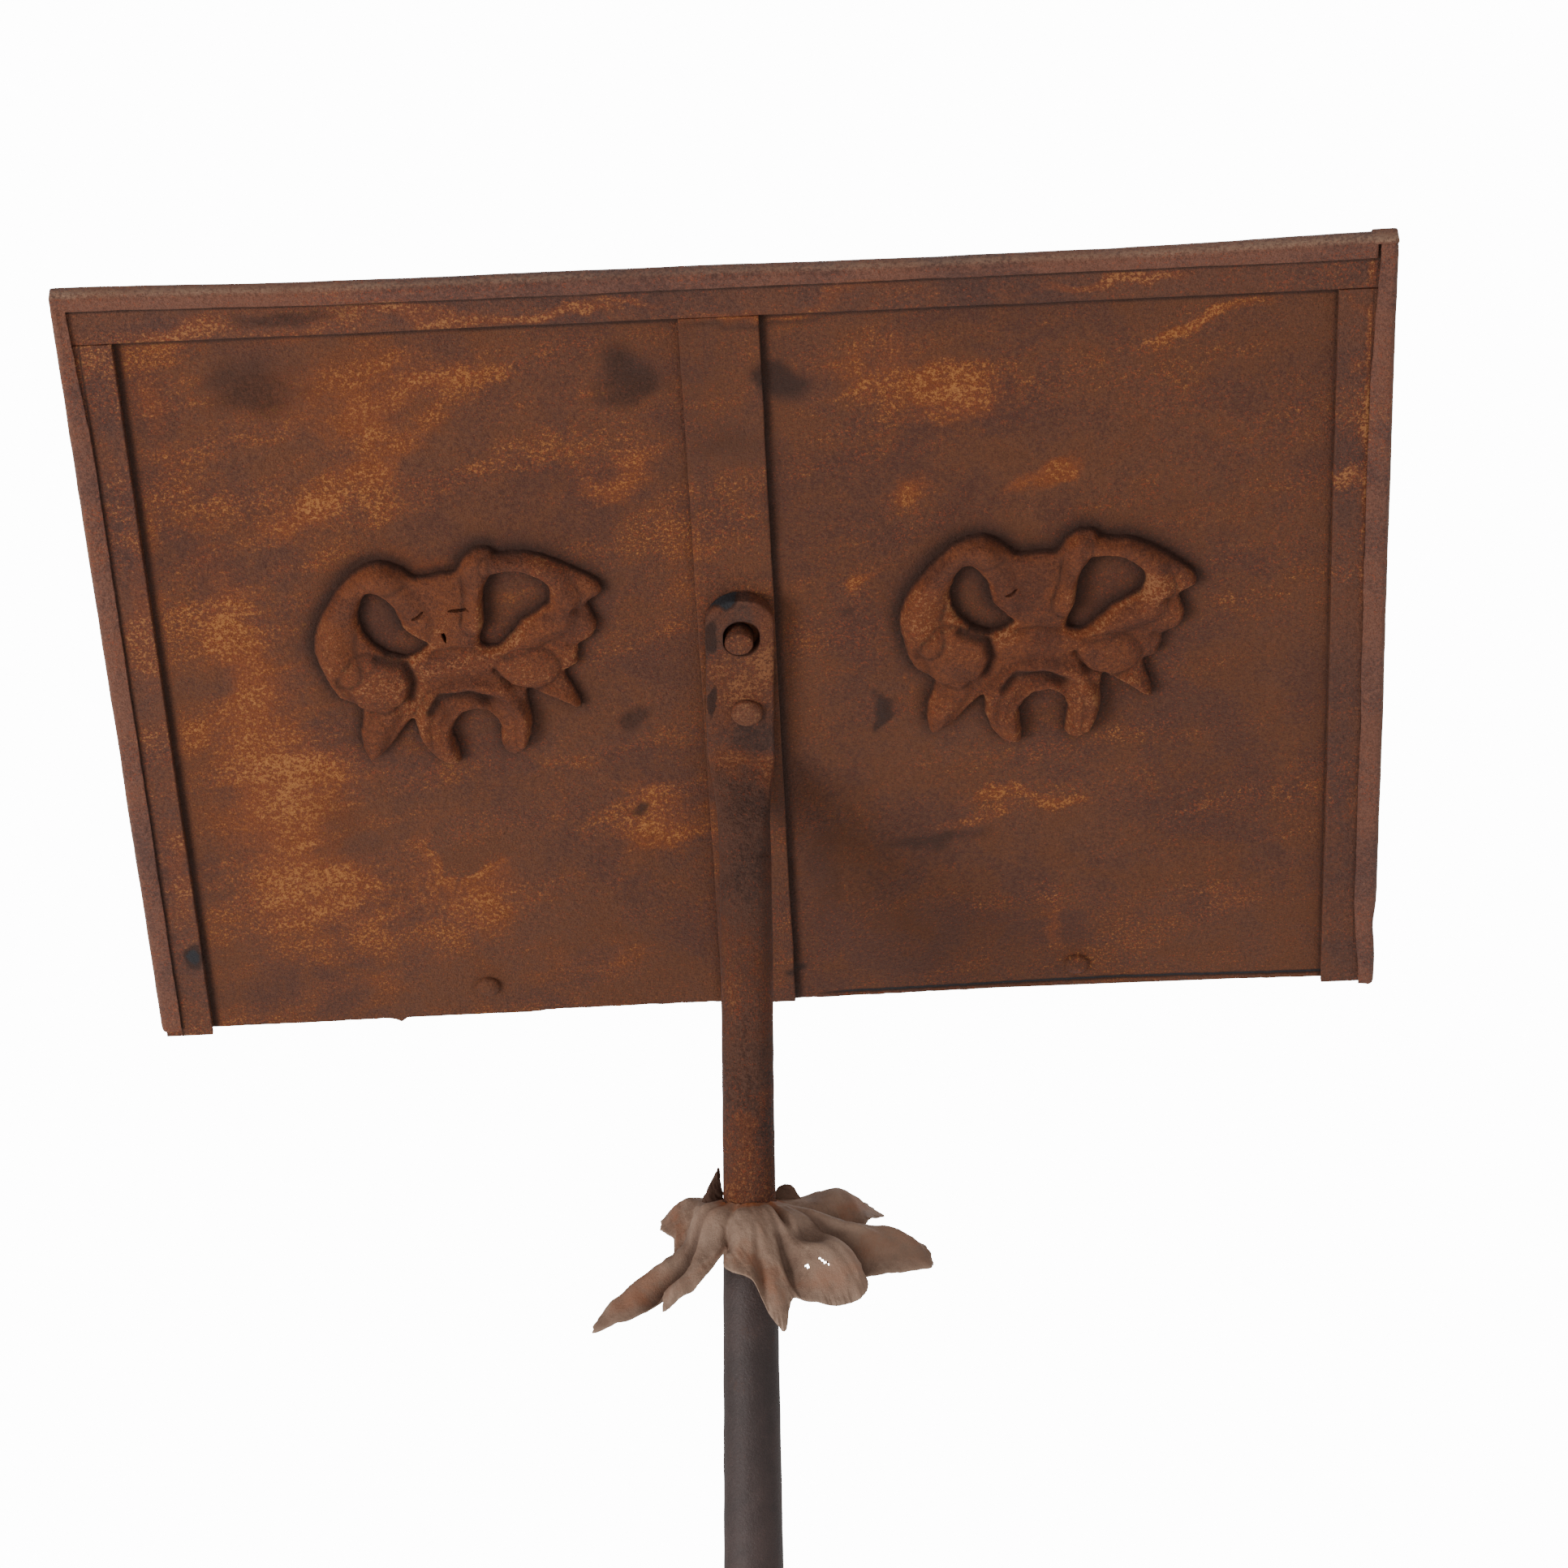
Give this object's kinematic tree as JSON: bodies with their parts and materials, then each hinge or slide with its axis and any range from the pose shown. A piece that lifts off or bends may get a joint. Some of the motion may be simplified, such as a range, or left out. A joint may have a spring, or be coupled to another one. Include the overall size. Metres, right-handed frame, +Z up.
{
  "type": "bible stand",
  "caption": "Floor-standing wrought-iron bible stand: sloping sheet desk with bound edges, strap and foliate ornaments, riveted to a rod that turns in a tapered post on scrolled legs.",
  "frame": {"origin": "on the floor, under the post's axis, which is the middle of the object's footprint", "axes": "+Z up along the post; -Y is the ornamented back of the desk, which faces the congregation; the reader stands at +Y; +X is to the right seen from -Y"},
  "size_m": [0.4746, 0.3834, 1.1928],
  "materials": {
    "sheet_iron": "rusted sheet iron, brown with orange-tan patches",
    "edge_iron": "rusted bands and folded bindings, smoother and greyer brown",
    "ornament_iron": "rusted pressed sheet, orange-brown on the high relief",
    "rod_iron": "pitted forged iron, brown with tan flecks",
    "leaf_metal": "thin pressed leaf metal with a dull dusty tan surface",
    "post_metal": "smooth dark brown patina with a satin sheen",
    "base_iron": "dark forged iron with light rust"
  },
  "bodies": {
    "stand": {"leaf_collar": "leaf_metal", "lower_post": "post_metal", "post_ring": "base_iron", "base_hub": "base_iron", "finial_nut": "base_iron", "leg_1": "base_iron", "leg_2": "base_iron", "leg_3": "base_iron", "leg_4": "base_iron", "leg_rivet_1_1": "base_iron", "leg_rivet_1_2": "base_iron", "leg_rivet_2_1": "base_iron", "leg_rivet_2_2": "base_iron", "leg_rivet_3_1": "base_iron", "leg_rivet_3_2": "base_iron", "leg_rivet_4_1": "base_iron", "leg_rivet_4_2": "base_iron", "foot_pad_1": "base_iron", "foot_pad_2": "base_iron", "foot_pad_3": "base_iron", "foot_pad_4": "base_iron"},
    "rod": {"upper_post": "rod_iron", "rock_rivet": "rod_iron"},
    "desk": {"desk_panel": "sheet_iron", "top_band": "edge_iron", "left_band": "edge_iron", "right_band": "edge_iron", "top_hem": "edge_iron", "left_hem": "edge_iron", "right_hem": "edge_iron", "centre_strap": "sheet_iron", "book_ledge": "sheet_iron", "ledge_rivet_left": "sheet_iron", "ledge_rivet_right": "sheet_iron", "ornament_left": "ornament_iron", "ornament_right": "ornament_iron", "stop_stud": "rod_iron"}
  },
  "joints": [
    {"name": "rod_swivel", "type": "hinge", "parent": "stand", "child": "rod", "pos_m": [0, 0, 0.85], "axis": [0, 0, 1], "continuous": true},
    {"name": "desk_rock", "type": "hinge", "parent": "rod", "child": "desk", "pos_m": [0.001, -0.0125, 1.035], "axis": [0, -0.7638, -0.6455], "range_deg": [-3.2, 0]}
  ]
}
